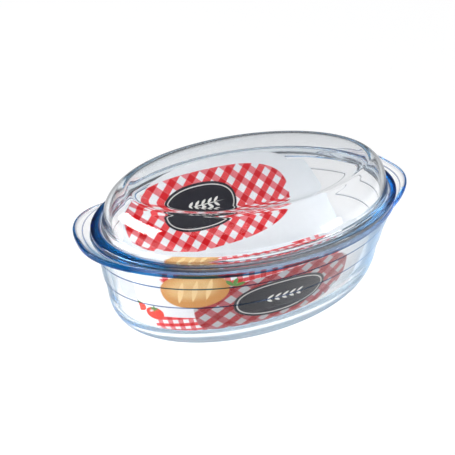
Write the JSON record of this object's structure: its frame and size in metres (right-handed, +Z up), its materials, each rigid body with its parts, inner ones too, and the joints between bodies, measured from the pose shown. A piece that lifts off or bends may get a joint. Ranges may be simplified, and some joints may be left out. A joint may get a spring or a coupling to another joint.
{
  "type": "covered casserole dish",
  "caption": "Clear pressed-glass oval casserole dish with crescent ears and a matching flat-topped glass lid, holding a printed card round its front wall and another that leans at the back.",
  "frame": {"origin": "middle of the flat underside of the dish, at the centre of the bounding box's bottom", "axes": "+X along the dish towards its right ear, +Y across it towards the back, +Z up through the lid"},
  "size_m": [0.33, 0.2, 0.1275],
  "materials": {
    "dish_glass": "polished",
    "lid_glass": "polished",
    "front_card_print": "satin",
    "back_card_print": "satin"
  },
  "bodies": {
    "dish": {"casserole_dish": "dish_glass", "front_card": "front_card_print", "back_card": "back_card_print"},
    "lid": {"lid": "lid_glass"}
  },
  "joints": [
    {"name": "lid_lift", "type": "slide", "parent": "dish", "child": "lid", "axis": [0, 0, 1], "range_m": [0, 0.15]}
  ]
}
